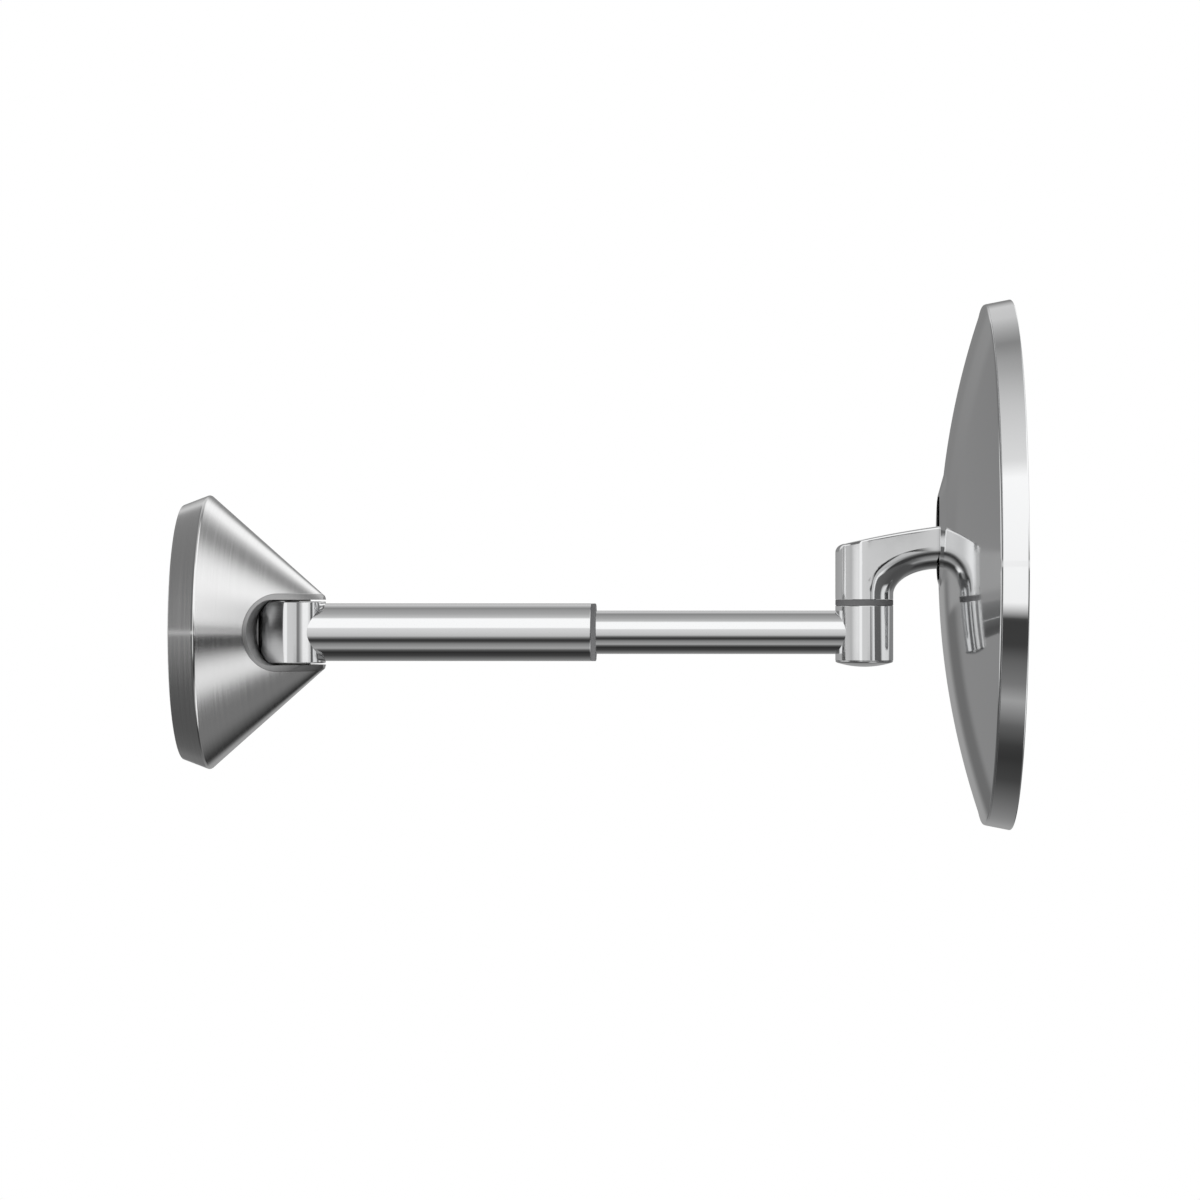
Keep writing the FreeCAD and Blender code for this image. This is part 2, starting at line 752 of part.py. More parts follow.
def neck_plan():
    """The neck's outline seen from above, raised from the foot: a round back that runs tangent into
    sides which draw in to the width of the eye."""
    floor = value("neck_throat_z")
    slant = math.atan2(value("knuckle_radius - neck_half_width"), value("neck_taper_end_x - knuckle_x"))
    touch_x = value("knuckle_x") + value("knuckle_radius") * math.sin(slant)
    touch_y = value("knuckle_radius") * math.cos(slant)
    far_x = value("tilt_x + eye_radius + cut_play")
    half_width = value("neck_half_width")
    corners = [
        Vector(touch_x, -touch_y, floor),
        Vector(value("neck_taper_end_x"), -half_width, floor),
        Vector(far_x, -half_width, floor),
        Vector(far_x, half_width, floor),
        Vector(value("neck_taper_end_x"), half_width, floor),
        Vector(touch_x, touch_y, floor),
    ]
    back = Vector(value("knuckle_x - knuckle_radius"), 0, floor)
    edges = [Part.Arc(corners[-1], back, corners[0])]
    edges += [Part.LineSegment(near, far) for near, far in zip(corners, corners[1:])]
    wire = Part.Wire([edge.toShape() for edge in edges])
    return Part.Face(wire).extrude(Vector(0, 0, value("neck_top_z + cut_play - neck_throat_z")))


def make_neck():
    """Cast neck that rises from the swivel on a round foot and bends out to the eye of the tilt
    joint, bored for the stud and the pin."""
    foot = Part.makeCylinder(
        value("knuckle_radius"), value(f"neck_throat_z - {NECK_FOOT_Z}"),
        side_point("knuckle_x", NECK_FOOT_Z))
    stud_hole = Part.makeCylinder(value("stud_radius"), value("stud_rise"), side_point("knuckle_x", "0"))
    pin_reach = Vector(0, value("knuckle_radius + cut_play"), 0)
    pin_hole = Part.makeCylinder(
        value("tilt_pin_radius + running_play"), pin_reach.y * 2,
        side_point("tilt_x", "tilt_z") - pin_reach, pin_reach)
    solid = neck_plan().common(neck_side()).fuse(foot).cut(stud_hole).cut(pin_hole)
    neck = doc.addObject("Part::Feature", "Neck")
    neck.Shape = solid.removeSplitter().Solids[0]
    keep("neck", neck)


def make_swivel_stud():
    """Stud fixed in the neck, with the disc springs and nut that clamp it under the knuckle's shoulder."""
    spring_top = "-(knuckle_shoulder + swivel_washer_depth + running_play)"
    nut_top = f"{spring_top} - 2 * disc_spring_depth"
    keep("swivel_stud", cylinder("stud_radius", "stud_rise + stud_drop", x="knuckle_x", z="-stud_drop"))
    turned("upper_disc_spring", "Z", [
        ("stud_radius", "-disc_spring_wall"),
        ("disc_spring_radius", "-disc_spring_depth"),
        ("disc_spring_radius", "-disc_spring_depth + disc_spring_wall"),
        ("stud_radius", "0"),
    ], x="knuckle_x", z=spring_top)
    turned("lower_disc_spring", "Z", [
        ("stud_radius", "0"),
        ("disc_spring_radius", "disc_spring_depth - disc_spring_wall"),
        ("disc_spring_radius", "disc_spring_depth"),
        ("stud_radius", "disc_spring_wall"),
    ], x="knuckle_x", z=nut_top)
    keep("swivel_nut", hex_nut(
        "swivel_nut_flat", "stud_radius", "swivel_nut_depth", ALONG_Z,
        x="knuckle_x", z=f"{nut_top} - swivel_nut_depth",
    ))


# ---------------------------------------------------------------- tilt joint and mirror head

CHEEK_FACE = "(cheek_gap + cheek_wall)"


def make_tilt_bolt():
    """Bolt through the eye of the neck, with its washers, disc spring and nut."""
    bolt = turned("tilt_bolt", "Y", [
        ("0", f"-{CHEEK_FACE} - tilt_head_depth"),
        ("tilt_head_radius", f"-{CHEEK_FACE} - tilt_head_depth"),
        ("tilt_head_radius", f"-{CHEEK_FACE}"),
        ("tilt_pin_radius", f"-{CHEEK_FACE}"),
        ("tilt_pin_radius", f"{CHEEK_FACE} + tilt_spring_depth + tilt_nut_depth"),
        ("0", f"{CHEEK_FACE} + tilt_spring_depth + tilt_nut_depth"),
    ], x="tilt_x", z="tilt_z")
    pocket_hexagon(bolt, "XZ_Plane", "tilt_key_flats", "tilt_key_depth", f"{CHEEK_FACE} + tilt_head_depth", False)
    washer = ("tilt_washer_radius", "tilt_pin_radius", "cheek_gap - neck_half_width - tilt_washer_play", ALONG_Y)
    keep("tilt_washers", group(
        ring(*washer, x="tilt_x", y="neck_half_width + tilt_washer_play", z="tilt_z"),
        ring(*washer, x="tilt_x", y="-cheek_gap", z="tilt_z"),
    ))
    keep("tilt_spring", ring(
        "tilt_head_radius", "tilt_pin_radius", "tilt_spring_depth", ALONG_Y, x="tilt_x", y=CHEEK_FACE, z="tilt_z"))
    keep("tilt_nut", hex_nut(
        "tilt_nut_flat", "tilt_pin_radius", "tilt_nut_depth", ALONG_Y,
        x="tilt_x", y=f"{CHEEK_FACE} + tilt_spring_depth", z="tilt_z",
    ))


def standoff_places():
    """The four corners where the bracket is screwed down, as expressions of Y and Z."""
    for side in ("-", ""):
        for level in ("-", "+"):
            yield f"{side}standoff_y", f"tilt_z {level} standoff_z"


def make_tilt_bracket():
    """Steel bracket with two cheeks round the eye, and its four countersunk screws."""
    plate = block(
        ("bracket_x", "bracket_x + bracket_wall"),
        ("-bracket_half_width", "bracket_half_width"),
        ("tilt_z - bracket_half_height", "tilt_z + bracket_half_height"),
    )
    cheeks = block(
        ("tilt_x", "bracket_x"),
        (f"-{CHEEK_FACE}", CHEEK_FACE),
        ("tilt_z - cheek_radius", "tilt_z + cheek_radius"),
    )
    cheek_ends = cylinder("cheek_radius", f"2 * {CHEEK_FACE}", ALONG_Y, x="tilt_x", y=f"-{CHEEK_FACE}", z="tilt_z")
    gap = block(
        ("tilt_x - cheek_radius - cut_play", "bracket_x"),
        ("-cheek_gap", "cheek_gap"),
        ("tilt_z - cheek_radius - cut_play", "tilt_z + cheek_radius + cut_play"),
    )
    pin_hole = cylinder("tilt_pin_radius", f"2 * {CHEEK_FACE}", ALONG_Y, x="tilt_x", y=f"-{CHEEK_FACE}", z="tilt_z")
    sinks = []
    screws = []
    for y, z in standoff_places():
        shank = ("bracket_screw_radius", "bracket_screw_length", ALONG_X)
        shank_place = {"x": "bracket_x + bracket_wall - bracket_screw_length", "y": y, "z": z}
        head = ("bracket_screw_radius", "bracket_screw_head", "bracket_wall", ALONG_X)
        head_place = {"x": "bracket_x", "y": y, "z": z}
        sinks.append(frustum(*head, **head_place))
        screws.append(union(cylinder(*shank, **shank_place), frustum(*head, **head_place)))
    keep("tilt_bracket", minus(union(plate, cheeks, cheek_ends), union(gap, pin_hole, *sinks)))
    keep("bracket_screws", group(*screws))


def make_back_cover():
    """Domed back with a low conical hub, a slot for the neck, four standoffs and a skirt in the rim."""
    inner_radius = "(dome_radius - dome_wall)"
    skirt_bore = "(skirt_radius - skirt_wall)"
    edge_x = "dome_apex_x + dome_radius - sqrt(dome_radius ^ 2 - dome_edge_radius ^ 2)"
    inner_edge_x = f"dome_apex_x + dome_radius - sqrt({inner_radius} ^ 2 - {skirt_bore} ^ 2)"
    dome = doc.addObject("PartDesign::Body", "Dome")
    place(dome, z="mirror_z")
    revolve(dome, outline(dome, "XZ_Plane", [
        ("dome_apex_x", "0"),
        ("skirt_end_x", "0"),
        ("skirt_end_x", "skirt_radius"),
        ("rim_x", "skirt_radius"),
        ("rim_x", "rim_radius", "dome_edge_round"),
        (edge_x, "dome_edge_radius", "dome_radius"),
    ]), "H_Axis")
    hub = frustum("hub_radius", "hub_radius + hub_spread * hub_depth", "hub_depth", ALONG_X, x="hub_x", z="hub_z")
    cavity = doc.addObject("PartDesign::Body", "Cavity")
    place(cavity, z="mirror_z")
    revolve(cavity, outline(cavity, "XZ_Plane", [
        ("dome_apex_x + dome_wall", "0"),
        ("skirt_end_x + cut_play", "0"),
        ("skirt_end_x + cut_play", skirt_bore),
        (inner_edge_x, skirt_bore, inner_radius),
    ]), "H_Axis")
    standoffs = []
    screw_holes = []
    for y, z in standoff_places():
        start = {"x": "standoff_start_x", "y": y, "z": z}
        standoffs.append(cylinder("standoff_radius", "bracket_x - standoff_start_x", ALONG_X, **start))
        hole = {"x": "bracket_x - bracket_screw_length", "y": y, "z": z}
        screw_holes.append(cylinder("bracket_screw_radius", "bracket_screw_length + cut_play", ALONG_X, **hole))
    slot = both(
        union(
            slot_bar("slot_corner", "0"),
            slot_bar("0", "slot_corner"),
            *[
                cylinder("slot_corner", "hub_depth + 3 * cut_play", ALONG_X, x="hub_x - cut_play", y=y, z=z)
                for y in ("slot_corner - slot_half_width", "slot_half_width - slot_corner")
                for z in ("slot_low_z + slot_corner", "slot_high_z - slot_corner")
            ],
        ),
        slot_bar("0", "0"),
    )
    shell = minus(union(dome, hub), cavity)
    keep("back_cover", minus(union(shell, *standoffs), union(slot, *screw_holes)))


def slot_bar(y_inset, z_inset):
    """A box of the neck slot's outline, drawn in by the two insets."""
    return block(
        ("hub_x - cut_play", "hub_x + hub_depth + 2 * cut_play"),
        (f"-(slot_half_width - {y_inset})", f"slot_half_width - {y_inset}"),
        (f"slot_low_z + {z_inset}", f"slot_high_z - {z_inset}"),
    )


def make_rim_ring():
    """Tapered ring that holds the glass, the pad and the back cover together."""
    turned("rim_ring", "X", [
        ("rim_x", "ring_bore"),
        ("front_x - ring_lip_depth", "ring_bore"),
        ("front_x - ring_lip_depth", "ring_lip_radius"),
        ("front_x", "ring_lip_radius + ring_lip_depth"),
        ("front_x", "front_radius - ring_edge"),
        ("front_x - ring_edge", "front_radius"),
        ("rim_x + ring_edge", "rim_radius"),
        ("rim_x", "rim_radius - ring_edge"),
    ], z="mirror_z")


def curved_disc(label, radius, wall, edge_front_x):
    """A thin disc dished backwards by the sag of the glass."""
    sphere = "((glass_radius ^ 2 + glass_sag ^ 2) / (2 * glass_sag))"
    sag = f"({sphere} - sqrt({sphere} ^ 2 - {radius} ^ 2))"
    turned(label, "X", [
        (f"{edge_front_x} - {sag} - {wall}", "0"),
        (f"{edge_front_x} - {sag}", "0", sphere),
        (edge_front_x, radius),
        (f"{edge_front_x} - {wall}", radius, f"-{sphere}"),
    ], z="mirror_z")


def make_glass():
    """Magnifying mirror glass and the foam pad behind it."""
    curved_disc("mirror_glass", "glass_radius", "glass_wall", "glass_front_x")
    curved_disc("glass_pad", "pad_radius", "pad_wall", "(glass_front_x - glass_wall - running_play)")


# ---------------------------------------------------------------- build, check and write

make_wall_plate()
make_base_cone()
make_hinge_saddle()
make_base_fasteners()
make_hinge_pin()
make_hinge_barrel()
make_outer_tube()
make_tube_collar()
make_inner_tube()
make_slide_glide()
make_lower_knuckle()
make_neck()
make_swivel_stud()
make_tilt_bolt()
make_tilt_bracket()
make_back_cover()
make_rim_ring()
make_glass()
doc.recompute()

for item in doc.Objects:
    if "Invalid" in item.State or "Error" in item.State:
        raise RuntimeError(f"{item.Label} failed: {item.State}")
for label, item in nodes.items():
    if item.Shape.isNull() or not item.Shape.isValid() or not item.Shape.Solids:
        raise RuntimeError(f"{label} has no valid solid")

os.makedirs("parts", exist_ok=True)
for label, item in nodes.items():
    item.Shape.exportStep(f"parts/{label}.step")
    box = item.Shape.BoundBox
    print(f"{label:20s} solids {len(item.Shape.Solids)} volume {item.Shape.Volume:10.1f} "
          f"x {box.XMin:.2f}..{box.XMax:.2f} y {box.YMin:.2f}..{box.YMax:.2f} z {box.ZMin:.2f}..{box.ZMax:.2f}")
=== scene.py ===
import json
import math

import bmesh
import bpy
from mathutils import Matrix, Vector


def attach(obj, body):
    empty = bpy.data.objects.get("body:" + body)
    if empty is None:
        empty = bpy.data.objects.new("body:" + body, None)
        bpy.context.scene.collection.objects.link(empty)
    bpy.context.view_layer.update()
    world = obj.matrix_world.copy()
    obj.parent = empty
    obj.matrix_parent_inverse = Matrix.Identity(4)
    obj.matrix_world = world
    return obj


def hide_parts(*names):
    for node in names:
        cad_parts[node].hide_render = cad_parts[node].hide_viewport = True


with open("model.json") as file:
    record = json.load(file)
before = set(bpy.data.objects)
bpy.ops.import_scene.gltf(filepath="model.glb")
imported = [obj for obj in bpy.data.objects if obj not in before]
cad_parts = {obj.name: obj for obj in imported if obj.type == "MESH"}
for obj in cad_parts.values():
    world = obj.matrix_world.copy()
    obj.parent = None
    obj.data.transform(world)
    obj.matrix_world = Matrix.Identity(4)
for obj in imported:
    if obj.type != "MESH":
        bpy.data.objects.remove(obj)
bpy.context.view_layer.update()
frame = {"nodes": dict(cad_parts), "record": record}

nodes = frame["nodes"]
MM = 0.001
JOIN_DISTANCE = 1e-7


# ---------------------------------------------------------------- node helpers

def new_tree(owner):
    """An empty node tree of a material or a world."""
    owner.use_nodes = True
    owner.node_tree.nodes.clear()
    return owner.node_tree


def put(tree, kind, **settings):
    """A new node with some of its properties set."""
    node = tree.nodes.new(kind)
    for name, setting in settings.items():
        setattr(node, name, setting)
    return node


def math_node(tree, operation, *terms):
    """The output of a Math node whose inputs are numbers or sockets."""
    node = put(tree, "ShaderNodeMath", operation=operation)
    for socket, term in zip(node.inputs, terms):
        if isinstance(term, (int, float)):
            socket.default_value = term
        else:
            tree.links.new(term, socket)
    return node.outputs[0]


def ramp(tree, factor, stops):
    """A colour ramp over 0 to 1 from (place, grey or colour) stops."""
    node = put(tree, "ShaderNodeValToRGB")
    elements = node.color_ramp.elements
    while len(elements) < len(stops):
        elements.new(0.5)
    for element, (spot, tone) in zip(elements, stops):
        element.position = spot
        element.color = (*tone, 1) if isinstance(tone, tuple) else (tone, tone, tone, 1)
    tree.links.new(factor, node.inputs[0])
    return node.outputs["Color"]


def blend_colours(tree, share, first, second):
    """A colour mix of two sockets by the share of the second."""
    share_input, first_colour, second_colour, colour_result = 0, 6, 7, 2
    node = put(tree, "ShaderNodeMix", data_type="RGBA")
    tree.links.new(share, node.inputs[share_input])
    tree.links.new(first, node.inputs[first_colour])
    tree.links.new(second, node.inputs[second_colour])
    return node.outputs[colour_result]


def soft_step(tree, value, low, high):
    """0 below low and 1 above high, smooth between."""
    node = put(tree, "ShaderNodeMapRange", interpolation_type="SMOOTHSTEP", clamp=True)
    tree.links.new(value, node.inputs["Value"])
    node.inputs["From Min"].default_value = low
    node.inputs["From Max"].default_value = high
    return node.outputs[0]


# ---------------------------------------------------------------- studio

def linear(tone):
    """Scene light for a display tone of 0 to 255, by the sRGB curve."""
    share = tone / 255
    return share / 12.92 if share <= 0.04045 else ((share + 0.055) / 1.055) ** 2.4


def turn_stops(tones):
    """Ramp stops over a full turn, -180 to 180 degrees, from (degrees, display tone) pairs."""
    return [((degrees + 180) / 360, linear(tone)) for degrees, tone in tones]


# Light round the object's long axis, by height seen from the front: 0 is the front, 90 overhead.
AROUND = [
    (-180, 158), (-160, 154), (-146, 134), (-125, 104), (-108, 66), (-86, 44), (-75, 92),
    (-66, 165), (-47, 132), (-38, 72), (-30, 48), (-22, 112), (-14, 190), (0, 206), (15, 216),
    (20, 255), (55, 255), (62, 196), (80, 168), (102, 150), (112, 135), (122, 165), (135, 200),
    (152, 205), (164, 135), (180, 130),
]
# The same for what faces a little towards the wall, where the front softbox reaches lower.
AROUND_WALL_SIDE = [
    (-180, 110), (-132, 115), (-112, 82), (-94, 54), (-85, 68), (-75, 96), (-62, 160), (-54, 120),
    (-43, 98), (-36, 62), (-24, 60), (-20, 200), (-17, 248), (38, 255), (46, 222), (67, 206),
    (94, 182), (121, 200), (148, 218), (165, 150), (180, 130),
]
# Beside the base the wall lies in shade; straight behind the object it is white.
BASE_SHADE = [
    (-180, 141), (-165, 139), (-150, 105), (-135, 95), (-107, 85), (-60, 82), (-30, 94), (0, 104),
    (46, 108), (144, 128), (160, 130), (180, 140),
]
WHITE_WALL = [(-180, 225), (0, 240), (180, 225)]
# What faces the mirror: softboxes in front, behind and below, with dark flags between them.
FACING_MIRROR = [
    (-180, 165), (-164, 140), (-156, 40), (-150, 25), (-138, 95), (-128, 122), (-100, 112),
    (-92, 125), (-86, 250), (-62, 255), (-50, 190), (-38, 80), (-28, 45), (-2, 45), (6, 120),
    (16, 240), (28, 255), (98, 255), (106, 220), (116, 125), (128, 125), (138, 200), (144, 255),
    (162, 255), (172, 190), (180, 165),
]
# Level light, by bearing from the front: positive towards the mirror.
LEVEL = [
    (-180, 150), (-110, 165), (-96, 160), (-88, 140), (-80, 186), (-55, 180), (-42, 216),
    (-30, 230), (-24, 226), (-18, 246), (-12, 224), (4, 203), (20, 206), (23, 125), (29, 130),
    (38, 205), (44, 248), (60, 248), (68, 212), (80, 208), (100, 226), (116, 205), (124, 60),
    (132, 62), (144, 140), (180, 150),
]
# Each table takes over from the last one as a direction's part towards the wall or the mirror
# grows from the first number to the second. The level light is a thin band, and leaves out what
# faces the front.
WALL_SIDE_FROM, SHADE_FROM, WHITE_FROM = (0.14, 0.24), (0.31, 0.38), (0.82, 0.92)
MIRROR_FROM = (0.12, 0.28)
LEVEL_EDGE, LEVEL_MIRROR_FROM, LEVEL_WALL_FROM = (0.019, 0.025), (0.07, 0.13), (0.2, 0.3)


def make_world():
    """White behind the object; what the metal reflects is a studio of soft boxes and dark flags."""
    world = bpy.data.worlds.new("Studio")
    bpy.context.scene.world = world
    tree = new_tree(world)
    direction = put(tree, "ShaderNodeTexCoord").outputs["Generated"]
    parts = put(tree, "ShaderNodeSeparateXYZ")
    tree.links.new(direction, parts.inputs[0])
    x, y, z = parts.outputs
    forward = math_node(tree, "MULTIPLY", y, -1.0)

    def turn(angle):
        """An angle in radians as a place on a ramp over the full turn."""
        return math_node(tree, "MULTIPLY_ADD", angle, 1 / (2 * math.pi), 0.5)

    around = turn(math_node(tree, "ARCTAN2", z, forward))
    level = turn(math_node(tree, "ARCTAN2", x, forward))

    to_wall = math_node(tree, "MULTIPLY", x, -1.0)
    colour = ramp(tree, around, turn_stops(AROUND))
    for facing, limits, tones in (
        (to_wall, WALL_SIDE_FROM, AROUND_WALL_SIDE),
        (to_wall, SHADE_FROM, BASE_SHADE),
        (to_wall, WHITE_FROM, WHITE_WALL),
        (x, MIRROR_FROM, FACING_MIRROR),
    ):
        share = soft_step(tree, facing, *limits)
        colour = blend_colours(tree, share, colour, ramp(tree, around, turn_stops(tones)))
    off_level = soft_step(tree, math_node(tree, "ABSOLUTE", z), *LEVEL_EDGE)
    near_level = math_node(tree, "SUBTRACT", 1.0, off_level)
    sideways = math_node(
        tree, "MAXIMUM",
        soft_step(tree, x, *LEVEL_MIRROR_FROM), soft_step(tree, to_wall, *LEVEL_WALL_FROM),
    )
    level_share = math_node(tree, "MULTIPLY", near_level, sideways)
    colour = blend_colours(tree, level_share, colour, ramp(tree, level, turn_stops(LEVEL)))

    reflected = put(tree, "ShaderNodeBackground")
    tree.links.new(colour, reflected.inputs["Color"])
    reflected.inputs["Strength"].default_value = 1.0
    backdrop = put(tree, "ShaderNodeBackground")
    backdrop.inputs["Color"].default_value = (1, 1, 1, 1)
    seen = put(tree, "ShaderNodeLightPath").outputs["Is Camera Ray"]
    chosen = put(tree, "ShaderNodeMixShader")
    tree.links.new(seen, chosen.inputs[0])
    tree.links.new(reflected.outputs[0], chosen.inputs[1])
    tree.links.new(backdrop.outputs[0], chosen.inputs[2])
    output = put(tree, "ShaderNodeOutputWorld")
    tree.links.new(chosen.outputs[0], output.inputs[0])


def make_camera():
    """The camera stands level in front of the arm, nearer the mirror than the wall, and is turned
    a little to the wall."""
    stand = Vector((0.1854, -1.3875, 0.0112))
    aim = Vector((0.1445, 0.0, stand.z))
    data = bpy.data.cameras.new("Camera")
    camera = bpy.data.objects.new("Camera", data)
    bpy.context.scene.collection.objects.link(camera)
    data.lens = 120.1
    data.sensor_width = 36.0
    camera.location = stand
    camera.rotation_euler = (aim - camera.location).to_track_quat("-Z", "Y").to_euler()
    bpy.context.scene.camera = camera


def make_floor():
    """A plain pale floor below the camera's view."""
    half, drop = 3.0, -0.75
    pale = (0.92, 0.92, 0.92, 1)
    glow_strength = 0.55
    mesh = bpy.data.meshes.new("floor")
    corners = [(-half, -half, drop), (half, -half, drop), (half, half, drop), (-half, half, drop)]
    mesh.from_pydata(corners, [], [(0, 1, 2, 3)])
    floor = bpy.data.objects.new("floor", mesh)
    bpy.context.scene.collection.objects.link(floor)
    material = bpy.data.materials.new("floor")
    tree = new_tree(material)
    paint = put(tree, "ShaderNodeBsdfDiffuse")
    paint.inputs["Color"].default_value = pale
    glow = put(tree, "ShaderNodeEmission")
    glow.inputs["Strength"].default_value = glow_strength
    both = put(tree, "ShaderNodeAddShader")
    tree.links.new(paint.outputs[0], both.inputs[0])
    tree.links.new(glow.outputs[0], both.inputs[1])
    tree.links.new(both.outputs[0], put(tree, "ShaderNodeOutputMaterial").inputs[0])
    mesh.materials.append(material)
    floor.visible_glossy = False


# ---------------------------------------------------------------- mesh helpers, in millimetres

TURN_STEPS, FINE_STEPS, HOLE_STEPS, SMALL_HOLE_STEPS = 192, 256, 64, 48
AXIS_HEIGHT = 23.3
BARREL_X, BARREL_RADIUS = 37.4, 11.75
KNUCKLE_X, KNUCKLE_RADIUS = 236.0, 10.0


def arc(centre, radius, start, end, steps):
    """Points on a circle in a plane, between two angles in degrees."""
    angles = [math.radians(start + (end - start) * step / steps) for step in range(steps + 1)]
    return [(centre[0] + radius * math.cos(angle), centre[1] + radius * math.sin(angle))
            for angle in angles]


def rounded(corners, steps=5):
    """A closed outline whose corners (across, up, rounding) are rounded off."""
    outline = []
    for index, (across, up, *size) in enumerate(corners):
        corner = Vector((across, up))
        if not size or size[0] == 0:
            outline.append(tuple(corner))
            continue
        before = (Vector(corners[index - 1][:2]) - corner).normalized()
        after = (Vector(corners[(index + 1) % len(corners)][:2]) - corner).normalized()
        half = before.angle(after) / 2
        centre = corner + (before + after).normalized() * (size[0] / math.sin(half))
        first = corner + before * (size[0] / math.tan(half)) - centre
        last = corner + after * (size[0] / math.tan(half)) - centre
        sweep = first.angle(last)
        for step in range(steps + 1):
            share = step / steps
            spoke = first * math.sin((1 - share) * sweep) + last * math.sin(share * sweep)
            outline.append(tuple(centre + spoke / math.sin(sweep)))
    return outline


def new_piece(name, points, faces):
    """An object from points in millimetres, doubled points joined and faces turned outwards."""
    shape = bmesh.new()
    corners = [shape.verts.new(Vector(point) * MM) for point in points]
    for face in faces:
        ring = [corners[index] for index in dict.fromkeys(face)]
        if len(ring) > 2:
            shape.faces.new(ring)
    bmesh.ops.remove_doubles(shape, verts=shape.verts, dist=JOIN_DISTANCE)
    bmesh.ops.dissolve_degenerate(shape, edges=shape.edges, dist=JOIN_DISTANCE)
    bmesh.ops.recalc_face_normals(shape, faces=shape.faces)
    mesh = bpy.data.meshes.new(name)
    shape.to_mesh(mesh)
    shape.free()
    piece = bpy.data.objects.new(name, mesh)
    bpy.context.scene.collection.objects.link(piece)
    return piece


def lathe(name, outline, axis, x=0.0, z=0.0, steps=TURN_STEPS):
    """A turned solid about X or Z. The outline is closed, of (along, radius) points, or a function
    of the angle that gives one; radius 0 lies on the axis."""
    points = []
    for turn in range(steps):
        angle = 2 * math.pi * turn / steps
        section = outline(angle) if callable(outline) else outline
        for along, radius in section:
            across, up = radius * math.cos(angle), radius * math.sin(angle)
            if axis == "X":
                points.append((x + along, across, z + up))
            else:
                points.append((x + across, up, z + along))
    count = len(section)
    faces = []
    for turn in range(steps):
        here, there = turn * count, (turn + 1) % steps * count
        for index in range(count):
            following = (index + 1) % count
            faces.append((here + index, here + following, there + following, there + index))
    return new_piece(name, points, faces)


def cylinder(name, axis, low, high, radius, x=0.0, steps=HOLE_STEPS):
    """A plain cylinder about X or Z, between two places along it."""
    outline = [(low, 0.0), (low, radius), (high, radius), (high, 0.0)]
    return lathe(name, outline, axis, x, steps=steps)


def prism(name, outline, axis, low, high):
    """A straight solid along X (outline of Y, Z) or along Y (outline of X, Z)."""
    points = []
    for level in (low, high):
        points += [(level, a, b) if axis == "X" else (a, level, b) for a, b in outline]
    count = len(outline)
    faces = [tuple(range(count)), tuple(range(count, 2 * count))]
    for index in range(count):
        following = (index + 1) % count
        faces.append((index, following, following + count, index + count))
    return new_piece(name, points, faces)


def apply_modifiers(piece):
    """Turn a piece's modifiers into its mesh."""
    graph = bpy.context.evaluated_depsgraph_get()
    mesh = bpy.data.meshes.new_from_object(piece.evaluated_get(graph))
    piece.modifiers.clear()
    piece.data = mesh


def combine(piece, tool, operation):
    """Join a tool to a piece, cut it away or keep what they share; the tool is used up."""
    step = piece.modifiers.new("combine", "BOOLEAN")
    step.operation = operation
    step.solver = "EXACT"
    step.object = tool
    apply_modifiers(piece)
    bpy.data.objects.remove(tool)


def cut_away(piece, *tools):
    """Cut several tools out of a piece."""
    for tool in tools:
        combine(piece, tool, "DIFFERENCE")


def soften(piece, width, segments=3, limit=30.0):
    """Round off the sharp edges of a piece by a width in millimetres."""
    step = piece.modifiers.new("soften", "BEVEL")
    step.width = width * MM
    step.segments = segments
    step.limit_method = "ANGLE"
    step.angle_limit = math.radians(limit)
    step.use_clamp_overlap = True
    apply_modifiers(piece)


def finish_piece(piece, node, sharp=40.0):
    """Smooth shading, and the material and body that the record gives its node, for a piece that
    stands for a node; the node's own mesh is hidden.
    Edges that turn by more than the sharp angle, in degrees, stay sharp."""
    piece.data.polygons.foreach_set("use_smooth", [True] * len(piece.data.polygons))
    piece.data.set_sharp_from_angle(angle=math.radians(sharp))
    even = piece.modifiers.new("even", "WEIGHTED_NORMAL")
    even.keep_sharp = True
    apply_modifiers(piece)
    subparts = frame["record"]["subparts"]
    bodies = frame["record"]["behaviour"]["bodies"]
    slot = next(part["material_slot"] for part in subparts if part["node"] == node)
    piece.data.materials.clear()
    piece.data.materials.append(materials[slot])
    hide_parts(node)
    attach(piece, next(body for body, members in bodies.items() if node in members))


# ---------------------------------------------------------------- base

def slot_outline(half_height, depth_x, round_length, end_x):
    """A slot open towards +X whose blind end is half an ellipse, as points of X and Z."""
    round_steps = 72
    centre_x = depth_x + round_length
    end = []
    for step in range(round_steps + 1):
        angle = math.radians(90 + 180 * step / round_steps)
        end.append((centre_x + round_length * math.cos(angle), half_height * math.sin(angle)))
    return [(end_x, -half_height), (end_x, half_height)] + end


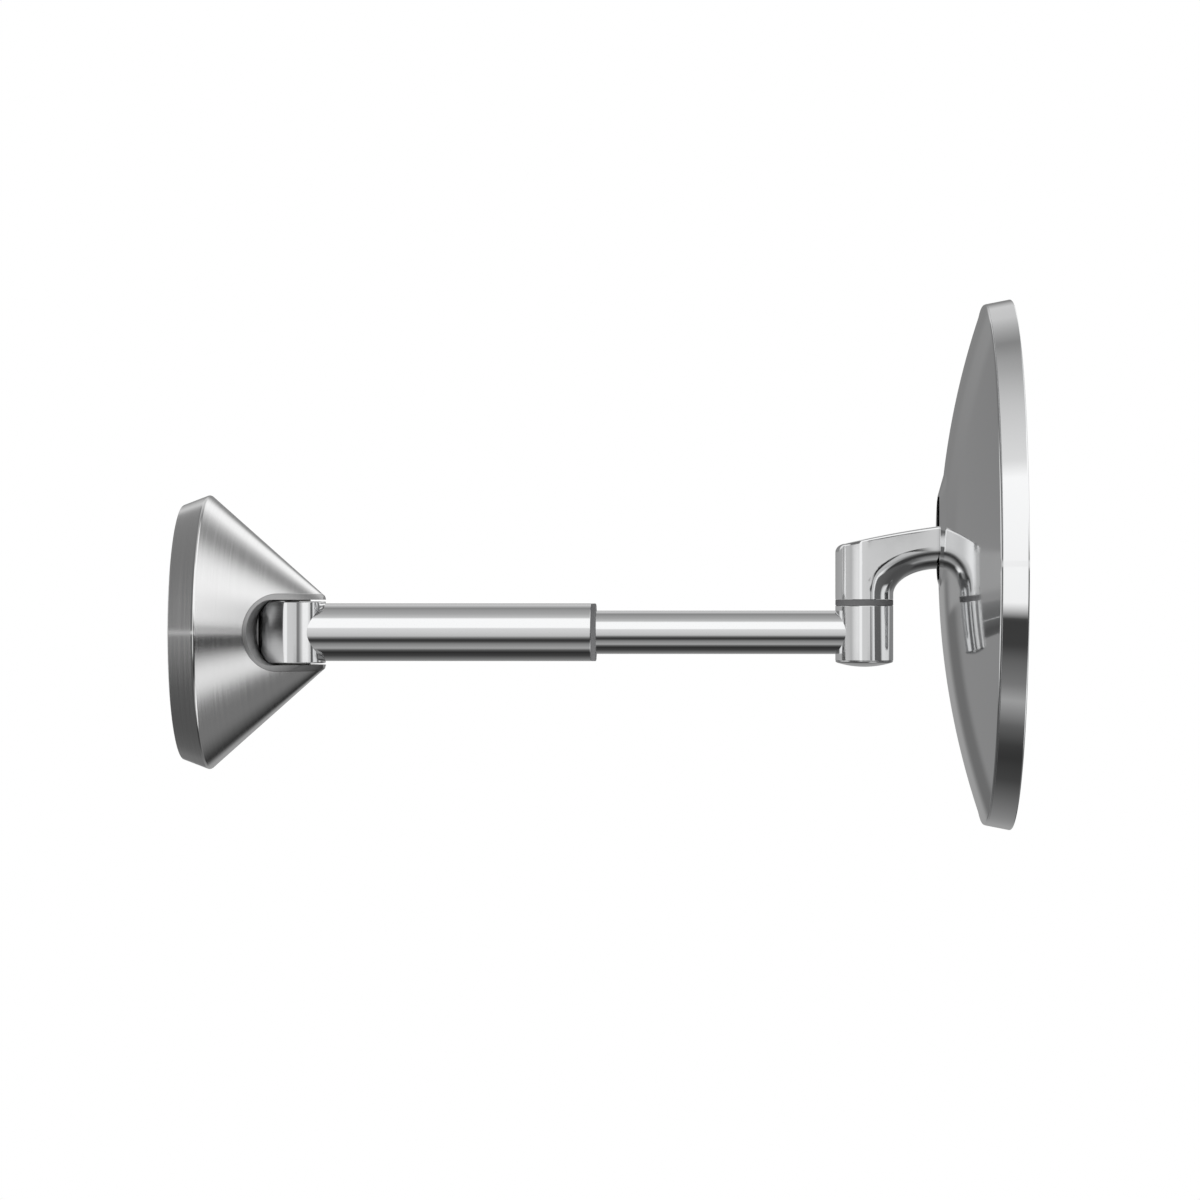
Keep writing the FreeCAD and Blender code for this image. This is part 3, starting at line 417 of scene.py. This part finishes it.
def make_base():
    """The cone with its notch, and the hinge saddle set flush in it."""
    rim_x, rim_radius, wall_radius = 9.2, 47.7, 44.2
    tip_x, tip_radius = 48.7, 12.75
    shell = 3.3
    plate_bore = 41.2
    web_back, web_front, web_hole = 11.0, 14.0, 3.3
    past_tip, past_rim = 49.7, 49.0
    set_screw_x, set_screw_radius, set_screw_end = 4.6, 2.0, -39.7

    slope = (rim_radius - tip_radius) / (tip_x - rim_x)
    inside = rim_radius - shell - slope * (web_front - rim_x)
    cone = lathe("base_cone_piece", rounded([
        (0.0, plate_bore, 0.3), (web_back, plate_bore), (web_back, web_hole),
        (web_front, web_hole), (web_front, inside), (tip_x, tip_radius - shell),
        (tip_x, tip_radius), (rim_x, rim_radius, 1.0), (0.0, wall_radius, 0.4),
    ], steps=8), "X", steps=FINE_STEPS)
    notch = slot_outline(half_height=13.4, depth_x=24.0, round_length=10.7, end_x=past_tip)
    cut_away(
        cone,
        prism("notch", notch, "Y", -past_rim, past_rim),
        cylinder("hole", "Z", -past_rim, set_screw_end, set_screw_radius, set_screw_x,
                 SMALL_HOLE_STEPS),
    )
    soften(cone, 0.25)
    finish_piece(cone, "base_cone")

    block_front, block_side = 34.0, 14.0
    liner_half, throat_half = 13.3, 11.3
    pocket_radius = 12.1
    pin_radius, pin_reach = 2.5, 14.0
    screw_radius, screw_end = 3.0, 22.0
    saddle = lathe("hinge_saddle_piece", [
        (rim_x, 0.0), (rim_x, rim_radius), (tip_x, tip_radius), (tip_x, 0.0),
    ], "X", steps=FINE_STEPS)
    liner = slot_outline(liner_half, depth_x=24.1, round_length=10.6, end_x=tip_x)
    combine(saddle, prism("liner", liner, "Y", -past_rim, past_rim), "INTERSECT")
    block = [
        (web_front, -liner_half), (block_front, -liner_half), (block_front, liner_half),
        (web_front, liner_half),
    ]
    combine(saddle, prism("block", block, "Y", -block_side, block_side), "UNION")
    throat = slot_outline(throat_half, depth_x=25.3, round_length=7.6, end_x=past_tip)
    cut_away(
        saddle,
        prism("throat", throat, "Y", -past_rim, past_rim),
        cylinder("pocket", "Z", -throat_half, throat_half, pocket_radius, BARREL_X, TURN_STEPS),
        cylinder("hole", "Z", -pin_reach, pin_reach, pin_radius, BARREL_X),
        cylinder("hole", "X", web_back, screw_end, screw_radius),
    )
    soften(saddle, 0.2)
    finish_piece(saddle, "hinge_saddle")


# ---------------------------------------------------------------- arm pieces

def make_arm():
    """The two tubes, each shaped to the joint it meets, the collar between them and the barrel."""
    outer_radius, outer_bore, outer_end = 10.0, 8.5, 141.5
    inner_radius, inner_bore, inner_start = 7.5, 6.0, 123.2

    def reach(radius, joint_radius, angle):
        """How far from the axis of an upright joint a line along the tube meets its side."""
        return math.sqrt(joint_radius ** 2 - (radius * math.cos(angle)) ** 2)

    def outer(angle):
        near = BARREL_X + reach(outer_radius, BARREL_RADIUS, angle)
        near_bore = BARREL_X + reach(outer_bore, BARREL_RADIUS, angle)
        return rounded([
            (near, outer_radius), (outer_end, outer_radius, 0.25), (outer_end, outer_bore, 0.15),
            (near_bore, outer_bore),
        ])

    def inner(angle):
        far = KNUCKLE_X - reach(inner_radius, KNUCKLE_RADIUS, angle)
        far_bore = KNUCKLE_X - reach(inner_bore, KNUCKLE_RADIUS, angle)
        return rounded([
            (inner_start, inner_radius, 0.2), (far, inner_radius), (far_bore, inner_bore),
            (inner_start, inner_bore, 0.2),
        ])

    finish_piece(lathe("outer_tube_piece", outer, "X"), "outer_tube")
    finish_piece(lathe("inner_tube_piece", inner, "X"), "inner_tube")

    collar_start, collar_end, collar_bore = 129.5, 143.2, 7.55
    collar = rounded([
        (collar_start, collar_bore, 0.15), (collar_end, collar_bore, 0.25),
        (collar_end, outer_radius, 0.35), (outer_end, outer_radius, 0.1),
        (outer_end, outer_bore), (collar_start, outer_bore, 0.15),
    ])
    finish_piece(lathe("tube_collar_piece", collar, "X"), "tube_collar")

    barrel_half, barrel_bore, barrel_edge, bore_edge = 10.7, 3.6, 0.4, 0.15
    barrel = lathe("hinge_barrel_piece", rounded([
        (-barrel_half, barrel_bore, bore_edge), (-barrel_half, BARREL_RADIUS, barrel_edge),
        (barrel_half, BARREL_RADIUS, barrel_edge), (barrel_half, barrel_bore, bore_edge),
    ]), "Z", x=BARREL_X)
    spigot_start, spigot_end, spigot_radius = 45.4, 55.65, 8.45
    spigot = lathe("spigot", rounded([
        (spigot_start, 0.0), (spigot_start, spigot_radius), (spigot_end, spigot_radius, 0.3),
        (spigot_end, 0.0),
    ]), "X")
    combine(barrel, spigot, "UNION")
    finish_piece(barrel, "hinge_barrel")


def make_knuckle():
    """The lower knuckle with its domed cap below and the plain ring above."""
    foot_z, top_z, edge = -9.85, 9.3, 0.3
    chamber_radius, chamber_top, stud_bore = 7.6, -1.5, 4.05
    knuckle = lathe("lower_knuckle_piece", rounded([
        (foot_z, chamber_radius), (foot_z, KNUCKLE_RADIUS, edge), (top_z, KNUCKLE_RADIUS, edge),
        (top_z, stud_bore), (chamber_top, stud_bore), (chamber_top, chamber_radius),
    ]), "Z", x=KNUCKLE_X)
    spigot_start, spigot_end, spigot_radius = 214.0, 227.8, 5.95
    spigot = lathe("spigot", rounded([
        (spigot_start, 0.0), (spigot_start, spigot_radius, edge), (spigot_end, spigot_radius),
        (spigot_end, 0.0),
    ]), "X")
    combine(knuckle, spigot, "UNION")
    finish_piece(knuckle, "lower_knuckle")

    dome_radius, dome_rise, dome_edge, dome_steps = 32.0, 2.05, 9.5, 24
    plug_radius, plug_top = 7.55, -7.85
    dome_centre = foot_z - dome_rise + dome_radius
    outs = [dome_edge * step / dome_steps for step in range(dome_steps + 1)]
    dome = [(dome_centre - math.sqrt(dome_radius ** 2 - out ** 2), out) for out in outs]
    rolled_edge = [(-10.2, 9.86), (-10.0, 9.96), (-9.88, 9.97)]
    plug = [(rolled_edge[-1][0], plug_radius), (plug_top, plug_radius), (plug_top, 0.0)]
    cap = lathe("knuckle_cap_piece", dome + rolled_edge + plug, "Z", x=KNUCKLE_X)
    finish_piece(cap, "knuckle_cap")

    ring_top, ring_bore = 11.4, 4.2
    band = rounded([
        (top_z, ring_bore), (top_z, KNUCKLE_RADIUS, edge), (ring_top, KNUCKLE_RADIUS, edge),
        (ring_top, ring_bore),
    ])
    finish_piece(lathe("swivel_ring_piece", band, "Z", x=KNUCKLE_X), "swivel_ring")


# ---------------------------------------------------------------- neck

FOOT_Z = 11.45
BEND_X, BEND_Z = 262.0, 13.0
ARM_LOW_Z, ARM_HIGH_Z = 22.0, 36.7
TILT_X, TILT_Z = 269.5, 29.35
EYE_RADIUS = 6.8
NECK_HALF = 7.2


def circle_through(first, middle, last):
    """Centre and radius of the circle through three points of a plane."""
    (ax, ay), (bx, by), (cx, cy) = first, middle, last
    twice_area = 2 * (ax * (by - cy) + bx * (cy - ay) + cx * (ay - by))
    a2, b2, c2 = ax * ax + ay * ay, bx * bx + by * by, cx * cx + cy * cy
    centre = Vector(((a2 * (by - cy) + b2 * (cy - ay) + c2 * (ay - by)) / twice_area,
                     (a2 * (cx - bx) + b2 * (ax - cx) + c2 * (bx - ax)) / twice_area))
    return centre, (Vector(first) - centre).length


def arc_through(first, middle, last, steps):
    """Points of the arc through three points."""
    centre, radius = circle_through(first, middle, last)
    start = math.atan2(first[1] - centre.y, first[0] - centre.x)
    end = math.atan2(last[1] - centre.y, last[0] - centre.x)
    return arc(centre, radius, math.degrees(start), math.degrees(end), steps)


def plan_half(x):
    """Half the neck's width seen from above: round at the back, then drawn in to the eye. The taper
    ends softly, over a stretch on both sides of taper_x."""
    taper_x, ease = 256.0, 7.5
    slant = math.atan2(KNUCKLE_RADIUS - NECK_HALF, taper_x - KNUCKLE_X)
    touch_x = KNUCKLE_X + KNUCKLE_RADIUS * math.sin(slant)
    if x < touch_x:
        return math.sqrt(max(KNUCKLE_RADIUS ** 2 - (x - KNUCKLE_X) ** 2, 0.0))
    if x > taper_x + ease:
        return NECK_HALF
    fall = (KNUCKLE_RADIUS * math.cos(slant) - NECK_HALF) / (taper_x - touch_x)
    if x < taper_x - ease:
        return NECK_HALF + fall * (taper_x - x)
    return NECK_HALF + fall * (taper_x + ease - x) ** 2 / (4 * ease)


def smooth(share):
    """0 to 1 along a share of 0 to 1, level at both ends."""
    share = min(max(share, 0.0), 1.0)
    return share * share * (3 - 2 * share)


def neck_sections():
    """For each cut across the neck: its inner end, the middle line and its outer end, as points
    seen from the side, and how far the cut is from the foot (0) to the arm (1)."""
    foot_steps, back_steps, corner_steps, top_steps, arm_steps = 4, 12, 14, 44, 24
    back_x, front_x = KNUCKLE_X - KNUCKLE_RADIUS, KNUCKLE_X + KNUCKLE_RADIUS
    back_top, corner_middle, top_start = (back_x, 27.9), (226.9, 29.62), (229.2, 30.6)
    top_middle, top_end = (245.1, 34.0), (BEND_X, ARM_HIGH_Z)
    inner_reach = (BEND_X - front_x, ARM_LOW_Z - BEND_Z)
    middle_reach = (BEND_X - KNUCKLE_X, 16.3)
    lifted = math.radians(25)
    arm_taper, end_play = 0.55, 0.05

    for step in range(foot_steps):
        z = FOOT_Z + (BEND_Z - FOOT_Z) * step / foot_steps
        yield Vector((front_x, z)), Vector((KNUCKLE_X, z)), Vector((back_x, z)), 0.0

    back = [(back_x, BEND_Z + (back_top[1] - BEND_Z) * step / back_steps)
            for step in range(back_steps)]
    corner = arc_through(back_top, corner_middle, top_start, corner_steps)
    top = arc_through(top_start, top_middle, top_end, top_steps)
    for x, z in back + corner + top[1:]:
        reach = Vector((x - BEND_X, z - BEND_Z))
        angle = math.atan2(reach.y, -reach.x)
        across, up = -math.cos(angle), math.sin(angle)

        def on_ellipse(half_x, half_z):
            radius = 1 / math.hypot(across / half_x, up / half_z)
            return Vector((BEND_X + across * radius, BEND_Z + up * radius))

        yield on_ellipse(*inner_reach), on_ellipse(*middle_reach), Vector((x, z)), angle / lifted

    arm_length = TILT_X + EYE_RADIUS - end_play - BEND_X
    for step in range(1, arm_steps + 1):
        x = BEND_X + arm_length * math.sin(step / arm_steps * math.pi / 2)
        if x < TILT_X:
            share = (x - BEND_X) / (TILT_X - BEND_X)
            low, high = ARM_LOW_Z + arm_taper * share, ARM_HIGH_Z - arm_taper * share
        else:
            rise = math.sqrt(EYE_RADIUS ** 2 - (x - TILT_X) ** 2)
            low, high = TILT_Z - rise, TILT_Z + rise
        yield Vector((x, low)), Vector((x, (low + high) / 2)), Vector((x, high)), 1.0


def neck_side(inner, middle, outer, lift):
    """One half of a cut across the neck, from its inner to its outer end: points seen from the
    side, each with its half width."""
    round_steps, flat_steps = 16, 22
    edge_round, top_slant = 0.9, 0.93
    side = []
    for step in range(round_steps):
        down = math.cos(math.pi / 2 * step / round_steps)
        spot = middle + (inner - middle) * down
        weight = max(smooth(down), 1 - smooth(lift))
        half = plan_half(spot.x) + (plan_half(middle.x) - plan_half(spot.x)) * weight
        side.append((spot, half * math.sqrt(1 - down * down)))
    rounding = min(edge_round, plan_half(outer.x) / 2)
    for step in range(flat_steps + 1):
        spot = middle + (outer - middle) * math.sin(math.pi / 2 * step / flat_steps)
        half = plan_half(spot.x)
        depth = (outer - spot).length * top_slant
        if depth < rounding:
            half -= rounding - math.sqrt(rounding ** 2 - (rounding - depth) ** 2)
        side.append((spot, max(half, 0.0)))
    return side


def make_neck():
    """Cast neck, turned smoothly from its round foot into an arm with a half-round underside."""
    points = []
    sections = list(neck_sections())
    for section in sections:
        side = neck_side(*section)
        points += [(spot.x, half, spot.y) for spot, half in side]
        points += [(spot.x, -half, spot.y) for spot, half in reversed(side[1:])]
    count = len(points) // len(sections)
    faces = [tuple(range(count)), tuple(range(len(points) - count, len(points)))]
    for row in range(len(sections) - 1):
        for index in range(count):
            following = (index + 1) % count
            here, there = row * count, (row + 1) * count
            faces.append((here + index, here + following, there + following, there + index))
    neck = new_piece("neck_piece", points, faces)

    stud_radius, stud_end = 4.0, 24.0
    pin_radius, pin_steps, past_neck = 2.55, 60, 12.0
    stud_hole = cylinder("hole", "Z", 0.0, stud_end, stud_radius, KNUCKLE_X)
    pin_outline = arc((TILT_X, TILT_Z), pin_radius, 0, 360, pin_steps)[:-1]
    cut_away(neck, stud_hole, prism("hole", pin_outline, "Y", -past_neck, past_neck))
    finish_piece(neck, "neck", sharp=35.0)


# ---------------------------------------------------------------- mirror head

def make_head():
    """The domed back with its hub and slot, the tapered ring and the dished glass."""
    cover_back, dome_radius, dome_edge, dome_steps = 261.97, 275.0, 89.0, 60
    inside_radius, inside_edge, past_cover = 273.8, 87.3, 283.2
    seam_x, seam_radius, skirt_radius, skirt_end = 277.4, 89.4, 88.5, 282.2
    hub_foot, hub_foot_radius, hub_back, hub_radius, hub_z = 265.0, 27.45, 261.5, 15.2, 32.4
    slot_half, slot_low, slot_high, slot_corner = 7.9, 18.2, 46.9, 3.0
    past_hub, slot_end = 260.0, 268.0
    dome_centre = cover_back + dome_radius

    def dome(radius, edge):
        outs = [edge * step / dome_steps for step in range(dome_steps + 1)]
        return [(dome_centre - math.sqrt(radius ** 2 - out ** 2), out) for out in outs]

    rolled_edge = arc(centre=(277.55, 88.98), radius=0.9, start=165, end=100, steps=9)[1:]
    skirt = [
        (seam_x, seam_radius), (seam_x, skirt_radius), (skirt_end, skirt_radius), (skirt_end, 0.0),
    ]
    cover = lathe("back_cover_piece", dome(dome_radius, dome_edge) + rolled_edge + skirt, "X",
                  z=AXIS_HEIGHT, steps=FINE_STEPS)
    hub = lathe("hub", rounded([
        (hub_foot, 0.0), (hub_foot, hub_foot_radius), (hub_back, hub_radius), (hub_back, 0.0),
    ]), "X", z=hub_z, steps=FINE_STEPS)
    combine(cover, hub, "UNION")
    cavity = dome(inside_radius, inside_edge) + [(past_cover, inside_edge), (past_cover, 0.0)]
    slot = rounded([
        (-slot_half, slot_low, slot_corner), (slot_half, slot_low, slot_corner),
        (slot_half, slot_high, slot_corner), (-slot_half, slot_high, slot_corner),
    ], steps=10)
    cut_away(
        cover,
        lathe("cavity", cavity, "X", z=AXIS_HEIGHT, steps=FINE_STEPS),
        prism("slot", slot, "X", past_hub, slot_end),
    )
    soften(cover, 0.3, limit=50.0)
    finish_piece(cover, "back_cover", sharp=7.0)

    ring_bore, lip_x, lip_radius = 88.55, 285.35, 87.2
    front_x, front_bore, front_radius, back_radius = 286.1, 87.95, 91.6, 89.9
    ring = rounded([
        (seam_x, ring_bore, 0.1), (lip_x, ring_bore), (lip_x, lip_radius, 0.1),
        (front_x, front_bore, 0.2), (front_x, front_radius, 0.45), (seam_x, back_radius, 0.3),
    ], steps=7)
    rim_ring = lathe("rim_ring_piece", ring, "X", z=AXIS_HEIGHT, steps=FINE_STEPS)
    finish_piece(rim_ring, "rim_ring", sharp=35.0)

    glass_radius, face_radius, face_steps, dish = 88.4, 88.15, 40, 3.2
    glass_front, thickness, edge_cut = 285.3, 2.2, 0.25
    sphere = (glass_radius ** 2 + dish ** 2) / (2 * dish)
    deepest = glass_front - (sphere - math.sqrt(sphere ** 2 - glass_radius ** 2))
    outs = [face_radius * step / face_steps for step in range(face_steps + 1)]
    front = [(deepest + (sphere - math.sqrt(sphere ** 2 - out ** 2)), out) for out in outs]
    back = [(x - thickness, out) for x, out in reversed(front)]
    edge = [(front[-1][0] - edge_cut, glass_radius), (back[0][0] + edge_cut, glass_radius)]
    glass = lathe("mirror_glass_piece", front + edge + back, "X", z=AXIS_HEIGHT, steps=FINE_STEPS)
    finish_piece(glass, "mirror_glass", sharp=20.0)


# ---------------------------------------------------------------- materials

# Scale of each kind of noise along X, Y and Z, per metre of the object's own coordinates.
RINGS = (5200, 14, 14)
SMEARS = (60, 60, 60)
FINE_GRAIN = (2500, 2500, 2500)
MOTTLE = (150, 150, 150)
PRESSED = (400, 400, 400)
# Most of a noise lies between these two, which become the ends of what it drives.
NOISE_LOW, NOISE_HIGH = 0.3, 0.7


def principled(name, colour, metallic, roughness):
    """A material with one Principled shader; returns the material, its tree and the shader."""
    material = bpy.data.materials.new(name)
    tree = new_tree(material)
    shader = put(tree, "ShaderNodeBsdfPrincipled")
    shader.inputs["Base Color"].default_value = (*colour, 1)
    shader.inputs["Metallic"].default_value = metallic
    shader.inputs["Roughness"].default_value = roughness
    tree.links.new(shader.outputs[0], put(tree, "ShaderNodeOutputMaterial").inputs[0])
    return material, tree, shader


def scaled_noise(tree, scale, detail=3.0, roughness=0.5):
    """Noise over the object's own coordinates, stretched by a scale per axis."""
    coordinates = put(tree, "ShaderNodeTexCoord").outputs["Object"]
    mapping = put(tree, "ShaderNodeMapping")
    mapping.inputs["Scale"].default_value = scale
    tree.links.new(coordinates, mapping.inputs["Vector"])
    noise = put(tree, "ShaderNodeTexNoise")
    noise.inputs["Scale"].default_value = 1.0
    noise.inputs["Detail"].default_value = detail
    noise.inputs["Roughness"].default_value = roughness
    tree.links.new(mapping.outputs[0], noise.inputs["Vector"])
    return noise.outputs["Fac"]


def vary(tree, noise, low, high):
    """A number between low and high that follows a noise."""
    node = put(tree, "ShaderNodeMapRange")
    tree.links.new(noise, node.inputs["Value"])
    node.inputs["From Min"].default_value = NOISE_LOW
    node.inputs["From Max"].default_value = NOISE_HIGH
    node.inputs["To Min"].default_value = low
    node.inputs["To Max"].default_value = high
    return node.outputs[0]


def add_tint(tree, shader, noise, colour, darkest):
    """Base colour that follows a noise, from a darker share of the colour up to the colour."""
    darker = tuple(part * darkest for part in colour)
    tint = ramp(tree, noise, [(NOISE_LOW, darker), (NOISE_HIGH, colour)])
    tree.links.new(tint, shader.inputs["Base Color"])


def add_bump(tree, shader, height, distance):
    """Bump of a given depth in metres."""
    bump = put(tree, "ShaderNodeBump")
    bump.inputs["Distance"].default_value = distance
    bump.inputs["Strength"].default_value = 1.0
    tree.links.new(height, bump.inputs["Height"])
    tree.links.new(bump.outputs[0], shader.inputs["Normal"])


def chrome(name, colour, low, high):
    """Polished plating, with the faint unevenness of a wiped surface."""
    material, tree, shader = principled(name, colour, 1.0, low)
    smears = scaled_noise(tree, SMEARS, detail=4.0, roughness=0.6)
    tree.links.new(vary(tree, smears, low, high), shader.inputs["Roughness"])
    return material


def brushed(name, colour, low, high, anisotropy, depth, edge_x=None):
    """Metal brushed round the X axis: fine rings of uneven gloss and a stretched highlight. The
    edge at edge_x is buffed bright."""
    buffed, buffed_half, fades_at = 0.1, 0.00045, 0.0007
    quarter_turn = 0.25
    material, tree, shader = principled(name, colour, 1.0, low)
    rings = scaled_noise(tree, RINGS, detail=5.0, roughness=0.7)
    gloss = vary(tree, rings, low, high)
    if edge_x is not None:
        parts = put(tree, "ShaderNodeSeparateXYZ")
        tree.links.new(put(tree, "ShaderNodeTexCoord").outputs["Object"], parts.inputs[0])
        away = math_node(tree, "ABSOLUTE", math_node(tree, "SUBTRACT", parts.outputs[0], edge_x))
        unbuffed = soft_step(tree, away, buffed_half, fades_at)
        duller = math_node(tree, "SUBTRACT", gloss, buffed)
        gloss = math_node(tree, "MULTIPLY_ADD", unbuffed, duller, buffed)
    tree.links.new(gloss, shader.inputs["Roughness"])
    add_tint(tree, shader, rings, colour, darkest=0.9)
    shader.inputs["Anisotropic"].default_value = anisotropy
    shader.inputs["Anisotropic Rotation"].default_value = quarter_turn
    tangent = put(tree, "ShaderNodeTangent", direction_type="RADIAL", axis="X")
    tree.links.new(tangent.outputs[0], shader.inputs["Tangent"])
    add_bump(tree, shader, rings, depth)
    return material


def moulded(name, colour, roughness):
    """Moulded plastic or rubber with a fine matt grain."""
    grain_depth = 0.00002
    material, tree, shader = principled(name, colour, 0.0, roughness)
    add_tint(tree, shader, scaled_noise(tree, MOTTLE), colour, darkest=0.9)
    add_bump(tree, shader, scaled_noise(tree, FINE_GRAIN, detail=2.0), grain_depth)
    return material


def plain_steel(name, colour, roughness):
    """Turned or pressed steel, mostly hidden by the covers."""
    material, tree, shader = principled(name, colour, 1.0, roughness)
    mottle = scaled_noise(tree, PRESSED, detail=4.0, roughness=0.6)
    uneven = vary(tree, mottle, roughness * 0.8, roughness * 1.25)
    tree.links.new(uneven, shader.inputs["Roughness"])
    add_tint(tree, shader, mottle, colour, darkest=0.88)
    return material


materials = {
    "chrome": chrome("chrome", (0.93, 0.935, 0.94), low=0.035, high=0.07),
    "polished_steel": chrome("polished_steel", (0.86, 0.865, 0.87), low=0.05, high=0.085),
    "brushed_steel": brushed("brushed_steel", (0.96, 0.96, 0.96), low=0.17, high=0.24,
                             anisotropy=0.8, depth=0.0000012, edge_x=0.0088),
    "satin_steel": brushed("satin_steel", (0.52, 0.52, 0.52), low=0.3, high=0.4,
                           anisotropy=0.4, depth=0.0000015),
    "fastener_steel": plain_steel("fastener_steel", (0.6, 0.6, 0.61), 0.3),
    "zinc_steel": plain_steel("zinc_steel", (0.66, 0.67, 0.7), 0.38),
    "grey_plastic": moulded("grey_plastic", (0.2, 0.2, 0.205), 0.5),
    "bush_plastic": moulded("bush_plastic", (0.78, 0.78, 0.74), 0.45),
    "seal_rubber": moulded("seal_rubber", (0.03, 0.03, 0.03), 0.7),
    "mirror_glass": chrome("mirror_glass", (0.95, 0.96, 0.96), low=0.0, high=0.004),
    "foam_pad": moulded("foam_pad", (0.08, 0.08, 0.08), 0.9),
}


def dress_cad_nodes():
    """Give every CAD node the finished material of its slot."""
    for part in frame["record"]["subparts"]:
        mesh = nodes[part["node"]].data
        for index in range(len(mesh.materials)):
            mesh.materials[index] = materials[part["material_slot"]]


make_world()
make_camera()
make_floor()
dress_cad_nodes()
make_base()
make_arm()
make_knuckle()
make_neck()
make_head()

bpy.context.scene.view_settings.view_transform = "Standard"
